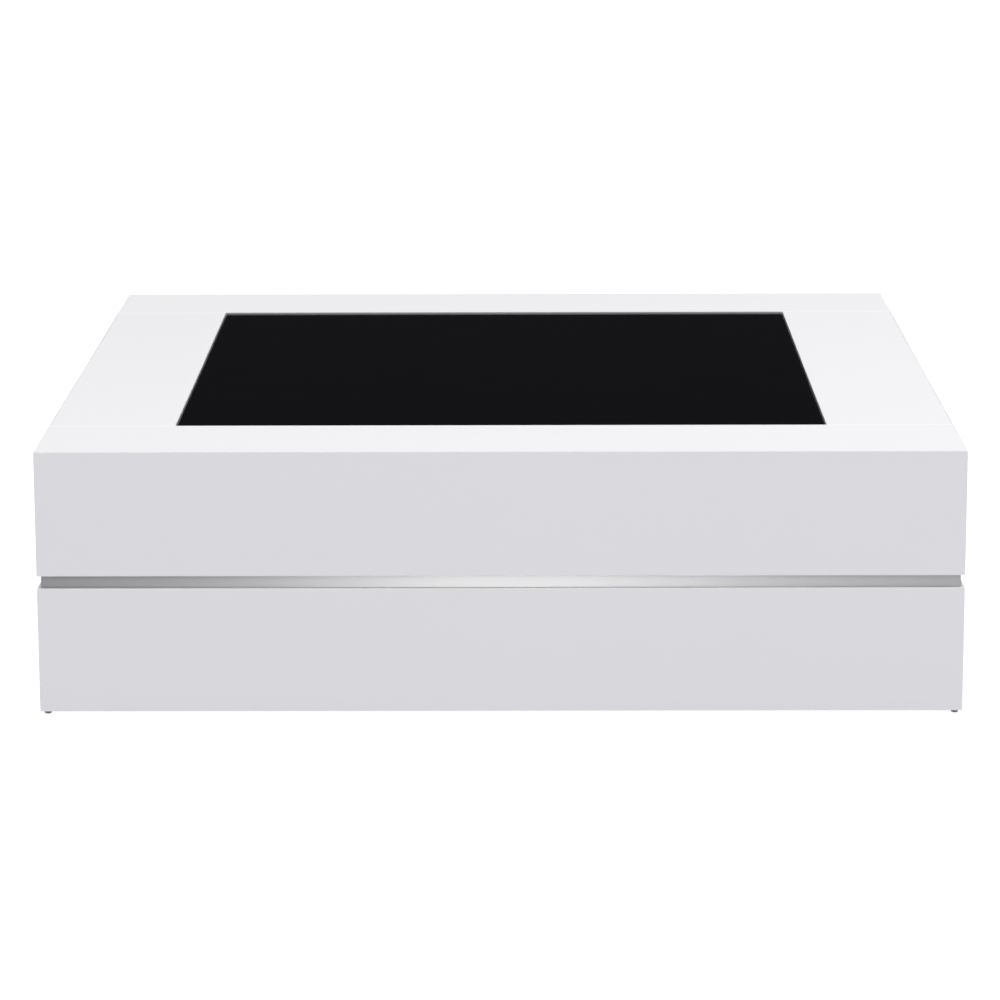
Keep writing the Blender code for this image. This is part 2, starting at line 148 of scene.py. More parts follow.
def mottle(tree, shader, place, size, detail=2.0, stretch=(1, 1, 1), **varied):
    """Vary a finish in cloudy blotches about size metres across, stretched by a factor along each axis."""
    scaled = add_node(tree, "ShaderNodeVectorMath",
                      {"operation": "MULTIPLY", 1: [1 / (size * s) for s in stretch]}, {0: place})
    blotches = add_node(tree, "ShaderNodeTexNoise", {"Scale": 1.0, "Detail": detail},
                        {"Vector": scaled.outputs[0]})
    let_vary(tree, shader, blotches.outputs["Fac"], **varied)


def toned(colour, factor):
    """A colour made brighter by a factor over 1, or deeper by one under it."""
    return tuple(min(1.0, part * factor) for part in colour)


def satin_lacquer(name):
    """What both lacquers share: a rough satin, a little uneven, with an orange peel of about 4 mm."""
    material, tree, shader, place = new_material(name, {"IOR": 1.5, "Specular IOR Level": 0.08})
    mottle(tree, shader, place, 35 * MM, roughness=(0.52, 0.56))
    mottle(tree, shader, place, 4 * MM, 1.0, depth=0.004 * MM)
    return material, tree, shader, place


def sprayed_lacquer(colour):
    """White polyurethane lacquer, sprayed on fibreboard: cool, even and satin."""
    material, tree, shader, place = satin_lacquer("sprayed_polyurethane_lacquer")
    mottle(tree, shader, place, 180 * MM, 3.0, colours=(colour, toned(colour, 1.003)))
    return material


def lacquer_with_painted_joint_highlight(colour):
    """The same lacquer on the top, with a painted highlight: a faint paler line along each joint."""
    material, tree, shader, place = satin_lacquer("sprayed_polyurethane_lacquer_over_joints")
    across = add_node(tree, "ShaderNodeSeparateXYZ", {}, {0: place})
    depth = add_node(tree, "ShaderNodeMath", {"operation": "ABSOLUTE"}, {0: across.outputs["Y"]})
    at_joint = add_node(tree, "ShaderNodeMath", {"operation": "COMPARE", 1: JOINT_Y, 2: JOINT_HIGHLIGHT_WIDTH / 2},
                        {0: depth.outputs[0]})
    side = add_node(tree, "ShaderNodeMath", {"operation": "ABSOLUTE"}, {0: across.outputs["X"]})
    beside = add_node(tree, "ShaderNodeMath", {"operation": "GREATER_THAN", 1: OPENING_X},
                      {0: side.outputs[0]})
    painted_highlight = add_node(tree, "ShaderNodeMath", {"operation": "MULTIPLY"},
                      {0: at_joint.outputs[0], 1: beside.outputs[0]})
    # painted highlight: the lacquer is made 5% paler in a band along each joint, beside the opening
    let_vary(tree, shader, painted_highlight.outputs[0], colours=(colour, toned(colour, 1.05)), start=0.0, end=1.0)
    return material


def painted_glass(colour):
    """Float glass painted black on its back: deep, mirror-smooth, with the haze of a wiped surface."""
    material, tree, shader, place = new_material(
        "back_painted_float_glass", {"IOR": 1.52, "Specular IOR Level": 0.32})
    mottle(tree, shader, place, 90 * MM, 3.0, colours=(colour, toned(colour, 0.8)))
    mottle(tree, shader, place, 14 * MM, 4.0, stretch=(6, 1, 1), roughness=(0.03, 0.07))
    return material


def ground_glass_edge(colour):
    """The ground and polished edge of float glass: dark green, a little duller than the face."""
    material, tree, shader, place = new_material("ground_float_glass_edge", {"IOR": 1.52})
    mottle(tree, shader, place, 1.5 * MM, stretch=(8, 8, 1), colours=(colour, toned(colour, 1.6)),
           roughness=(0.12, 0.30))
    return material


def brushed_strip(colour):
    """Stainless strip brushed along its length: the brushing smears what it mirrors up and down."""
    material, tree, shader, place = new_material(
        "long_brushed_stainless_strip", {"Metallic": 1.0, "Anisotropic": 1.0, "Anisotropic Rotation": 0.25})
    tangent = add_node(tree, "ShaderNodeTangent", {"direction_type": "RADIAL", "axis": "Z"})
    tree.links.new(tangent.outputs["Tangent"], shader.inputs["Tangent"])
    # real brush lines are under 0.1 mm apart; these are 0.7 mm, the finest that show
    mottle(tree, shader, place, 0.7 * MM, stretch=(160, 160, 1), colours=(colour, toned(colour, 1.06)),
           roughness=(0.40, 0.45))
    return material


def pressed_melamine(colour):
    """Melamine-faced board pressed with a fine pearl grain: matte, even, grained at about a millimetre."""
    material, tree, shader, place = new_material("pearl_pressed_melamine", {"IOR": 1.55})
    mottle(tree, shader, place, 60 * MM, 4.0, colours=(colour, toned(colour, 1.05)))
    mottle(tree, shader, place, 1.2 * MM, 1.0, roughness=(0.42, 0.56), depth=0.06 * MM)
    return material


def raw_particle_board(colour):
    """Unfaced particle board: pale and dark wood chips of 3 to 5 mm in resin."""
    material, tree, shader, place = new_material("raw_particle_board", {"IOR": 1.5, "Roughness": 0.85})
    scaled = add_node(tree, "ShaderNodeVectorMath",
                      {"operation": "MULTIPLY", 1: (1 / (5 * MM), 1 / (3 * MM), 1 / (3 * MM))}, {0: place})
    chips = add_node(tree, "ShaderNodeTexVoronoi", {"Scale": 1.0}, {"Vector": scaled.outputs[0]})
    tone = add_node(tree, "ShaderNodeSeparateColor", {}, {"Color": chips.outputs["Color"]}).outputs["Red"]
    let_vary(tree, shader, tone, colours=(toned(colour, 0.62), colour), start=0.0, end=1.0)
    let_vary(tree, shader, chips.outputs["Distance"], depth=0.25 * MM)
    return material


def zinc_plate(colour):
    """Pressed steel, zinc-plated and passivated: grey-white, softly mottled, half bright."""
    material, tree, shader, place = new_material("zinc_plated_pressed_steel", {"Metallic": 1.0})
    mottle(tree, shader, place, 7 * MM, 4.0, colours=(toned(colour, 0.93), colour))
    mottle(tree, shader, place, 2.5 * MM, 3.0, roughness=(0.28, 0.40))
    mottle(tree, shader, place, 3 * MM, 1.0, depth=0.006 * MM)
    return material


def tempered_wire(colour):
    """Oil-tempered spring wire: dark, with a film of oil that is thicker in some places."""
    material, tree, shader, place = new_material("oil_tempered_spring_wire", {"Metallic": 1.0})
    mottle(tree, shader, place, 4 * MM, 3.0, colours=(colour, toned(colour, 1.5)), roughness=(0.22, 0.38))
    return material


def moulded_plastic(name, colour, roughness):
    """Injection-moulded plastic or rubber with a fine spark-eroded grain."""
    material, tree, shader, place = new_material(name, {"IOR": 1.5})
    mottle(tree, shader, place, 0.8 * MM, colours=(colour, toned(colour, 1.12)),
           roughness=(roughness - 0.05, roughness + 0.05), depth=0.02 * MM)
    return material


# ---- Shapes ----
def add_piece(name, mesh, material, body, replaced=None, place=(0, 0, 0)):
    """Turn a bmesh into a piece that rides on a body, takes a slot's finish and may stand for CAD nodes."""
    bmesh.ops.recalc_face_normals(mesh, faces=mesh.faces[:])
    data = bpy.data.meshes.new(name)
    mesh.to_mesh(data)
    mesh.free()
    data.materials.append(material)
    piece = bpy.data.objects.new(name, data)
    bpy.context.scene.collection.objects.link(piece)
    piece.location = place
    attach(piece, body)
    for node in replaced or ():
        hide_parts(node)
    return piece


def smooth(piece, angle=35):
    """Shade smooth, with edges sharper than the angle left crisp."""
    piece.data.shade_smooth()
    piece.data.set_sharp_from_angle(angle=math.radians(angle))


def keep_flats_flat(piece):
    """Shade smooth so that narrow rounded edges shade round and the wide faces stay flat."""
    piece.data.shade_smooth()
    weighted = piece.modifiers.new("flat faces", "WEIGHTED_NORMAL")
    weighted.weight = 100


def ease_edges(piece, width, segments=3, angle=30):
    """Round a piece's sharp edges by a width in metres."""
    bevel = piece.modifiers.new("eased edges", "BEVEL")
    bevel.width = width
    bevel.segments = segments
    bevel.limit_method = "ANGLE"
    bevel.angle_limit = math.radians(angle)
    bevel.use_clamp_overlap = True
    bevel.harden_normals = True
    piece.data.shade_smooth()


def rounded_block(low, high, radius, segments=4):
    """A box with all its edges rounded."""
    mesh = bmesh.new()
    bmesh.ops.create_cube(mesh, size=1.0)
    bmesh.ops.scale(mesh, vec=high - low, verts=mesh.verts[:])
    bmesh.ops.translate(mesh, vec=(low + high) / 2, verts=mesh.verts[:])
    bmesh.ops.bevel(mesh, geom=mesh.edges[:], offset=radius, segments=segments, profile=0.5,
                    affect="EDGES", clamp_overlap=True)
    return mesh


def cut(mesh, planes):
    """Cut a convex mesh by planes (point, outward normal) and close each cut."""
    for point, normal in planes:
        everything = mesh.verts[:] + mesh.edges[:] + mesh.faces[:]
        bmesh.ops.bisect_plane(mesh, geom=everything, plane_co=point, plane_no=normal, clear_outer=True,
                               dist=MERGE)
        bmesh.ops.holes_fill(mesh, edges=[edge for edge in mesh.edges if edge.is_boundary])
    return mesh


def round_edges_on(mesh, on_line, radius, segments=2):
    """Round the edges whose two ends both pass a test."""
    edges = [edge for edge in mesh.edges if all(on_line(vert.co) for vert in edge.verts)]
    bmesh.ops.bevel(mesh, geom=edges, offset=radius, segments=segments, profile=0.5, affect="EDGES",
                    clamp_overlap=True)


def mitre(corner, own, other):
    """The plane where a board facing own meets a board facing other."""
    return corner, (other - own).normalized()


def near(a, b):
    """Whether two places are the same to a hundredth of a millimetre."""
    return abs(a - b) < 0.01 * MM


def circle(centre, radius, steps=40):
    """Points (y, z) round a place."""
    turn = math.tau / steps
    return [(centre[1] + radius * math.cos(k * turn), centre[2] + radius * math.sin(k * turn))
            for k in range(steps)]


def hull(points):
    """The convex outline round flat points, counter-clockwise."""
    points = sorted(set(points))

    def half(ordered):
        chain = []
        for p in ordered:
            while len(chain) > 1:
                a, b = chain[-2], chain[-1]
                if (b[0] - a[0]) * (p[1] - a[1]) - (b[1] - a[1]) * (p[0] - a[0]) > 0:
                    break
                chain.pop()
            chain.append(p)
        return chain[:-1]

    return half(points) + half(points[::-1])


def flat_shape(loops):
    """A flat mesh in the YZ plane: the first loop is the outline, the rest are holes."""
    mesh = bmesh.new()
    edges = []
    for loop in loops:
        ring = [mesh.verts.new((0, y, z)) for y, z in loop]
        edges += [mesh.edges.new(pair) for pair in zip(ring, ring[1:] + ring[:1])]
    bmesh.ops.triangle_fill(mesh, use_beauty=True, edges=edges)
    return mesh


def thicken(mesh, low_x, high_x):
    """Give a flat YZ mesh the thickness between two X places."""
    bmesh.ops.translate(mesh, vec=(low_x, 0, 0), verts=mesh.verts[:])
    side = bmesh.ops.extrude_face_region(mesh, geom=mesh.faces[:])
    moved = [item for item in side["geom"] if isinstance(item, bmesh.types.BMVert)]
    bmesh.ops.translate(mesh, vec=(high_x - low_x, 0, 0), verts=moved)
    return mesh


def turned(profile, axis, steps=40):
    """A solid turned about an axis; profile holds (distance along it, radius) from end to end."""
    mesh = bmesh.new()
    along = Vector(axis)
    across = UP if abs(along.z) < 0.5 else Vector((1, 0, 0))
    outline = [(profile[0][0], 0.0)] + list(profile) + [(profile[-1][0], 0.0)]
    points = [mesh.verts.new(along * distance + across * radius) for distance, radius in outline]
    edges = [mesh.edges.new(pair) for pair in zip(points, points[1:])]
    bmesh.ops.spin(mesh, geom=points + edges, cent=(0, 0, 0), axis=along, angle=math.tau, steps=steps)
    bmesh.ops.remove_doubles(mesh, verts=mesh.verts[:], dist=MERGE)
    return mesh


# ---- White boards ----
CASE_BOTTOM, CASE_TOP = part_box("upper_front_apron")[0].z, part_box("top_front_strip")[1].z
PLINTH_BOTTOM, PLINTH_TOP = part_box("lower_front_panel")[0].z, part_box("lower_front_panel")[1].z
HALF = CAD_BOUNDS[1].x                     # outer faces stand at +-HALF in X and Y
OPENING_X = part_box("top_right_panel")[0].x
OPENING_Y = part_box("top_rear_strip")[0].y
JOINT_Y = (OPENING_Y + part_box("top_right_panel")[1].y) / 2
JOINT_HIGHLIGHT_WIDTH = 8 * MM                      # of the painted highlight line along each joint in the top


def block_for(bottom, top, radius):
    """The whole box that a ring of boards makes, with its outer edges rounded."""
    return rounded_block(Vector((-HALF, -HALF, bottom)), Vector((HALF, HALF, top)), radius)


def ring_planes(side, node):
    """The inner face of one of four boards round a box, and its mitres with the next two."""
    facing = SIDES[side]
    low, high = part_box(node)
    inner = Vector((low.x if facing.x > 0 else high.x, low.y if facing.y > 0 else high.y, 0))
    turned_side = Vector((facing.y, facing.x, 0))
    corners = [(facing + turned_side) * HALF, (facing - turned_side) * HALF]
    return [(inner, -facing), mitre(corners[0], facing, turned_side), mitre(corners[1], facing, -turned_side)]


def white_board(name, block, planes, material):
    """One board cut from the rounded block, standing for the CAD node of the same name."""
    mesh = cut(block, planes)
    piece = add_piece(f"{name}_lacquered", mesh, material, "table", [name])
    keep_flats_flat(piece)
    return piece


def build_aprons(arris, material):
    """The upper box's four sides, mitred at the corners and under the top."""
    for side, facing in SIDES.items():
        node = f"upper_{side}_apron"
        planes = ring_planes(side, node) + [mitre(facing * HALF + UP * CASE_TOP, facing, UP)]
        white_board(node, block_for(CASE_BOTTOM, CASE_TOP, arris), planes, material)


def build_plinth(arris, material):
    """The lower box's four sides, mitred at the corners."""
    for side in SIDES:
        node = f"lower_{side}_panel"
        white_board(node, block_for(PLINTH_BOTTOM, PLINTH_TOP, arris), ring_planes(side, node), material)


def build_top(arris, opening_arris, joint_groove, material):
    """Two full-width strips, and two side panels butted between them, round the lid's opening."""
    underside = (Vector((0, 0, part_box("top_front_strip")[0].z)), -UP)
    ends = [mitre(side * HALF + UP * CASE_TOP, UP, side) for side in (SIDES["left"], SIDES["right"])]
    for side in ("front", "rear"):
        facing = SIDES[side]
        planes = [underside, (facing * JOINT_Y, -facing), mitre(facing * HALF + UP * CASE_TOP, UP, facing)]
        mesh = cut(block_for(CASE_BOTTOM, CASE_TOP, arris), planes + ends)
        splits = [(Vector((sign * OPENING_X, 0, 0)), Vector((1, 0, 0))) for sign in (-1, 1)]
        for point, normal in splits:
            bmesh.ops.bisect_plane(mesh, geom=mesh.verts[:] + mesh.edges[:] + mesh.faces[:],
                                   plane_co=point, plane_no=normal, dist=MERGE)

        def on_joint(co):
            return near(co.y, facing.y * JOINT_Y) and near(co.z, CASE_TOP)

        round_edges_on(mesh, on_joint, joint_groove)
        piece = add_piece(f"top_{side}_strip_lacquered", mesh, material, "table",
                          [f"top_{side}_strip"])
        keep_flats_flat(piece)
    for hand in HANDS:
        facing = SIDES[hand]
        planes = [underside, (facing * OPENING_X, -facing), mitre(facing * HALF + UP * CASE_TOP, UP, facing),
                  (SIDES["front"] * JOINT_Y, SIDES["front"]), (SIDES["rear"] * JOINT_Y, SIDES["rear"])]
        mesh = cut(block_for(CASE_BOTTOM, CASE_TOP, arris), planes)

        def on_rim(co):
            return near(co.z, CASE_TOP) and near(abs(co.x), OPENING_X)

        def on_joint_end(co):
            return near(co.z, CASE_TOP) and near(abs(co.y), JOINT_Y)

        round_edges_on(mesh, on_rim, opening_arris, 3)
        round_edges_on(mesh, on_joint_end, joint_groove)
        piece = add_piece(f"top_{hand}_panel_lacquered", mesh, material, "table",
                          [f"top_{hand}_panel"])
        keep_flats_flat(piece)


# ---- Boards and strips whose CAD shape is right ----
def dress(node, material, edge=0.0):
    """Give a CAD node its finish, and ease its edges."""
    thing = frame["nodes"][node]
    thing.material_slots[0].material = material
    if edge:
        ease_edges(thing, edge)


# ---- Lid ----
def build_glass(arris, face, edge):
    """The lid's glass, with its own finish on the ground edge."""
    low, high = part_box("lid_glass")
    mesh = rounded_block(low, high, arris, 3)
    piece = add_piece("lid_glass_polished", mesh, face, "lid", ["lid_glass"])
    piece.data.materials.append(edge)
    for polygon in piece.data.polygons:
        polygon.material_index = 0 if abs(polygon.normal.z) > 0.9 else 1
    keep_flats_flat(piece)


# ---- Lift ----
GAP = 0.3 * MM                             # play round every pin
PIN_RADIUS = 4 * MM
JOURNAL_RADIUS = 5 * MM                    # ends of the cross tube, in the base brackets
PIN_HOLE, JOURNAL_HOLE = PIN_RADIUS + GAP, JOURNAL_RADIUS + GAP
TUBE_RADIUS = 8 * MM
SHOULDER_LENGTH = 8 * MM                   # collar on the tube inside each spring
SHOULDER_PLAY = 1.5 * MM                   # between a collar and its spring
TURNED_EASE = 0.8 * MM                     # chamfer of the turned edges
RIVET_HEAD_RADIUS, RIVET_HEAD = 7 * MM, 2.5 * MM
CROWN = 0.75                               # share of a rivet head's height that is domed
STOP_PIN_EASE = 0.6 * MM                   # chamfer of a stop pin's free end

WIRE_RADIUS = 1.5 * MM
COIL_STEPS = 40                            # points in each turn of wire

SHEET = 3 * MM                             # thickness of the brackets
BENDS = 6                                  # flats round a bracket's bend
BRACKET_EDGE = 0.4 * MM                    # eased by the press
BRACKET_SKIRT = 12 * MM                    # height of a web along its whole flange
FLANGE_CORNER = 6 * MM
BASE_EYE, LID_EYE, STOP_EYE = 16 * MM, 14 * MM, 8 * MM    # edge of a bracket round its pivots
SCREW_IN = 15 * MM                         # from a flange's ends to its outer screws
SCREW_HOLE = 2.6 * MM
SCREW_HEAD_RADIUS, SCREW_HEAD = 4.2 * MM, 2.2 * MM
SCREW_RIM = 0.35                           # share of a screw head's height that is straight
RECESS_LENGTH, RECESS_WIDTH = 4.4 * MM, 0.9 * MM
RECESS_FLOOR = 0.45                        # height of the recess's floor, as a share of the head's
SCREW_SLANT, SCREW_STEP = 17, 53           # degrees the first screw is turned, and each next one more


def bent_bracket(name, node, sign, body, up, circles, holes, material):
    """A bracket bent from flat sheet: the web stands on a flange that points to the middle of the table.

    The flat pattern lies in (y, t), with t measured along the sheet from the middle of the bend.
    """
    low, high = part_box(node)
    outer, tip = max(abs(low.x), abs(high.x)), min(abs(low.x), abs(high.x))
    web = outer - SHEET / 2
    flange_z = low.z + SHEET / 2 if up > 0 else high.z - SHEET / 2
    radius = SHEET
    bend = radius * math.pi / 2

    def developed(z):
        return up * (z - flange_z) - radius + bend / 2

    tip_t = -(web - tip - radius) - bend / 2
    points = [(y, developed(z)) for centre, size in circles for y, z in circle(centre, size)]
    points += [(y, developed(flange_z + up * BRACKET_SKIRT)) for y in (low.y, high.y)]
    for y in (low.y + FLANGE_CORNER, high.y - FLANGE_CORNER):
        points += circle((0, y, tip_t + FLANGE_CORNER), FLANGE_CORNER, 24)
    loops = [hull(points)]
    loops += [[(y, developed(z)) for y, z in circle(centre, size)] for centre, size in holes]
    middle_t = (tip_t - bend / 2) / 2
    screw_ys = [low.y + SCREW_IN, (low.y + high.y) / 2, high.y - SCREW_IN]
    loops += [circle((0, y, middle_t), SCREW_HOLE, 20) for y in screw_ys]
    mesh = flat_shape(loops)
    for k in range(BENDS + 1):
        bmesh.ops.bisect_plane(mesh, geom=mesh.verts[:] + mesh.edges[:] + mesh.faces[:],
                               plane_co=(0, 0, -bend / 2 + bend * k / BENDS), plane_no=(0, 0, 1), dist=MERGE)
    for vert in mesh.verts:
        t = vert.co.z
        turn = min(max((t + bend / 2) / radius, 0.0), math.pi / 2)
        x = web - radius + radius * math.sin(turn) + min(t + bend / 2, 0.0)
        height = radius - radius * math.cos(turn) + max(t - bend / 2, 0.0)
        vert.co = (sign * x, vert.co.y, flange_z + up * height)
    piece = add_piece(name, mesh, material, body, [node])
    shell = piece.modifiers.new("sheet", "SOLIDIFY")
    shell.thickness = SHEET
    shell.offset = 0.0
    shell.use_even_offset = True
    ease_edges(piece, BRACKET_EDGE, 2, 50)
    screw_x = web - radius + middle_t + bend / 2
    face_z = flange_z + up * SHEET / 2
    screws(f"{name}_screws", [Vector((sign * screw_x, y, face_z)) for y in screw_ys], UP * up, body)
    return piece


def shown_copy(thing):
    """The mesh of an object with its modifiers applied; the object is removed."""
    evaluated = thing.evaluated_get(bpy.context.evaluated_depsgraph_get())
    mesh = bmesh.new()
    mesh.from_mesh(evaluated.to_mesh())
    evaluated.to_mesh_clear()
    bpy.data.objects.remove(thing)
    return mesh


def screw_head():
    """A pan head with a cross recess, about its own axis, sitting on z = 0."""
    radius, height = SCREW_HEAD_RADIUS, SCREW_HEAD
    dome = [(0.0, radius)]
    for k in range(9):
        turn = math.radians(90 * k / 8)
        rise = SCREW_RIM + (1 - SCREW_RIM) * math.sin(turn)
        dome.append((height * rise, radius * math.cos(turn) + 1e-6))
    head_mesh = bpy.data.meshes.new("head")
    solid = turned(dome, UP, 32)
    bmesh.ops.recalc_face_normals(solid, faces=solid.faces[:])
    solid.to_mesh(head_mesh)
    solid.free()
    head = bpy.data.objects.new("head", head_mesh)
    bpy.context.scene.collection.objects.link(head)
    cutters = []
    for wide, deep in ((RECESS_LENGTH, RECESS_WIDTH), (RECESS_WIDTH, RECESS_LENGTH)):
        slot = bmesh.new()
        bmesh.ops.create_cube(slot, size=1.0)
        bmesh.ops.scale(slot, vec=(wide, deep, height), verts=slot.verts[:])
        bmesh.ops.translate(slot, vec=(0, 0, height * (RECESS_FLOOR + 0.5)), verts=slot.verts[:])
        slot_mesh = bpy.data.meshes.new("slot")
        slot.to_mesh(slot_mesh)
        slot.free()
        cutter = bpy.data.objects.new("slot", slot_mesh)
        bpy.context.scene.collection.objects.link(cutter)
        recess = head.modifiers.new("recess", "BOOLEAN")
        recess.operation = "DIFFERENCE"
        recess.solver = "EXACT"
        recess.object = cutter
        cutters.append(cutter)
    bpy.context.view_layer.update()
    mesh = shown_copy(head)
    for cutter in cutters:
        bpy.data.objects.remove(cutter)
    return mesh


def screws(name, places, facing, body):
    """A row of screws, each turned a little further than the last."""
    one = screw_head()
    data = bpy.data.meshes.new("screw")
    one.to_mesh(data)
    one.free()
    mesh = bmesh.new()
    upright = UP.rotation_difference(facing).to_matrix().to_4x4()
    for count, place in enumerate(places):
        before = len(mesh.verts)
        mesh.from_mesh(data)
        mesh.verts.ensure_lookup_table()
        turn = Matrix.Rotation(math.radians(SCREW_SLANT + SCREW_STEP * count), 4, "Z")
        bmesh.ops.transform(mesh, matrix=Matrix.Translation(place) @ upright @ turn,
                            verts=mesh.verts[before:])
    bpy.data.meshes.remove(data)
    piece = add_piece(name, mesh, finish("zinc"), body)
    smooth(piece, 40)
    return piece


def build_brackets(material):
    """Brackets screwed to the well's floor and to the underside of the lid's board."""
    for hand, sign in HANDS.items():
        stop = middle_of(f"{hand}_stop_pin")
        bent_bracket(f"{hand}_base_bracket_bent", f"{hand}_base_bracket", sign, "table", 1,
                     [(LOWER_FRONT, BASE_EYE), (LOWER_REAR, BASE_EYE), (stop, STOP_EYE)],
                     [(LOWER_FRONT, JOURNAL_HOLE), (LOWER_REAR, PIN_HOLE), (stop, PIN_HOLE)], material)
        bent_bracket(f"{hand}_lid_bracket_bent", f"{hand}_lid_bracket", sign, "lid", -1,
                     [(UPPER_FRONT, LID_EYE), (UPPER_REAR, LID_EYE)],
                     [(UPPER_FRONT, PIN_HOLE), (UPPER_REAR, PIN_HOLE)], material)


def middle_of(node):
    """The middle of a node's box."""
    low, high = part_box(node)
    return (low + high) / 2


def build_links(edge, material):
    """Flat links with eased edges; the front ones turn with the cross tube."""
    for hand in HANDS:
        for end, start, far, body, hole in (
                ("front", LOWER_FRONT, UPPER_FRONT, "front_arms", JOURNAL_HOLE),
                ("rear", LOWER_REAR, UPPER_REAR, f"{hand}_rear_arm", PIN_HOLE)):
            node = f"{hand}_{end}_link"
            low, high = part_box(node)
            half_width = (high.z - low.z) / 2
            outline = hull(circle(start, half_width, 48) + circle(far, half_width, 48))
            mesh = flat_shape([outline, circle(start, hole), circle(far, PIN_HOLE)])
            piece = add_piece(f"{node}_eased", thicken(mesh, low.x, high.x), material, body,
                              [node])
            ease_edges(piece, edge, 3, 50)


def oval_head(radius, height, steps=8):
    """A rivet head's profile from its crown to its rim, for a head that starts at 0 and is height deep."""
    crown = [(CROWN * height * (1 - math.cos(t)), radius * math.sin(t))
             for t in (math.pi / 2 * (k + 0.2) / steps for k in range(steps))]
    return crown + [(CROWN * height, radius), (height, radius)]


def build_pins(material):
    """Rivets at the moving and lower rear pivots, and headed stop pins."""
    for hand, sign in HANDS.items():
        for node, body in ((f"{hand}_lower_rear_pin", "table"), (f"{hand}_upper_front_pin", "lid"),
                           (f"{hand}_upper_rear_pin", "lid"), (f"{hand}_stop_pin", "table")):
            low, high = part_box(node)
            outer, inner = max(abs(low.x), abs(high.x)), min(abs(low.x), abs(high.x))
            head = oval_head(RIVET_HEAD_RADIUS, RIVET_HEAD)
            outside = [(outer - along, radius) for along, radius in reversed(head)]
            if node.endswith("stop_pin"):
                inside = [(inner, PIN_RADIUS - STOP_PIN_EASE), (inner + STOP_PIN_EASE, PIN_RADIUS)]
            else:
                inside = [(inner + along, radius) for along, radius in head]
                inside.append((inner + RIVET_HEAD, PIN_RADIUS))
            profile = inside + [(outer - RIVET_HEAD, PIN_RADIUS)] + outside
            place = Vector((0, middle_of(node).y, middle_of(node).z))
            mesh = turned([(sign * along, radius) for along, radius in profile], (1, 0, 0))
            piece = add_piece(f"{node}_riveted", mesh, material, body, [node], place)
            smooth(piece)


def build_cross_tube(material):
    """The shaft between the front links, with a collar inside each spring and domed ends."""
    low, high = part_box("cross_tube")
    end = high.x
    step = abs(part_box("right_front_link")[0].x) - GAP
    face = abs(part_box("right_torsion_spring")[0].x) - SHOULDER_PLAY
    back = face - SHOULDER_LENGTH
    shoulder, ease = (high.z - low.z) / 2, TURNED_EASE
    half = [(back, TUBE_RADIUS), (back, shoulder - ease), (back + ease, shoulder), (face - ease, shoulder),
            (face, shoulder - ease), (face, TUBE_RADIUS), (step - ease, TUBE_RADIUS),
            (step, TUBE_RADIUS - ease), (step, JOURNAL_RADIUS),
            (end - RIVET_HEAD, JOURNAL_RADIUS), (end - RIVET_HEAD, TUBE_RADIUS)]
    half += [(end - along, radius) for along, radius in reversed(oval_head(TUBE_RADIUS, RIVET_HEAD)[:-1])]
    profile = [(-along, radius) for along, radius in reversed(half)] + half
    piece = add_piece("cross_tube_turned", turned(profile, (1, 0, 0), 48), material, "front_arms",
                      ["cross_tube"], LOWER_FRONT)
    smooth(piece)


def build_springs(turns, material):
    """Torsion springs: close coils round the cross tube, and a leg that stands on the bracket's flange."""
    for hand, sign in HANDS.items():
        node = f"{hand}_torsion_spring"
        low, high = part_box(node)
        coil = (high.y - low.y) / 2 - WIRE_RADIUS
        outer = max(abs(low.x), abs(high.x)) - WIRE_RADIUS
        inner = min(abs(low.x), abs(high.x)) + WIRE_RADIUS
        foot = low.z - LOWER_FRONT.z
        points = [(sign * outer, -coil, foot), (sign * outer, -coil, foot + 4 * WIRE_RADIUS)]
        for k in range(turns * COIL_STEPS + 1):
            turn = math.pi - math.tau * k / COIL_STEPS
            along = outer - (outer - inner) * k / (turns * COIL_STEPS)
            points.append((sign * along, coil * math.cos(turn), coil * math.sin(turn)))
        curve = bpy.data.curves.new(f"{node}_wound", "CURVE")
        curve.dimensions = "3D"
        curve.bevel_depth = WIRE_RADIUS
        curve.bevel_resolution = 5
        curve.use_fill_caps = True
        spline = curve.splines.new("POLY")
        spline.points.add(len(points) - 1)
        for point, place in zip(spline.points, points):
            point.co = (*place, 1.0)
        curve.materials.append(material)
        spring = bpy.data.objects.new(curve.name, curve)
        bpy.context.scene.collection.objects.link(spring)
        spring.location = LOWER_FRONT
        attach(spring, "table")
        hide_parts(node)


# ---- Small mouldings ----
LATCH_EDGE = 0.6 * MM
LATCH_SCREW_IN = 9 * MM                    # from the latch's ends to its screws
PLUNGER_SHANK = 3 * MM                     # radius
PLUNGER_HEAD = 6 * MM                      # height
PLUNGER_EASE, SHANK_EASE = 1.0 * MM, 0.5 * MM
TIP_DEPTH, TIP_GROOVE = 1.6 * MM, 0.4 * MM    # the groove between the plunger's head and its magnet
STRIKER_EASE = 0.3 * MM
BUFFER_SIDE = 0.45                         # share of a buffer's height and radius below and inside its dome
GLIDE_CROWN = 0.42                         # share of a glide's height that is crowned
GLIDE_FLAT = 0.55                          # share of a glide's radius that is flat


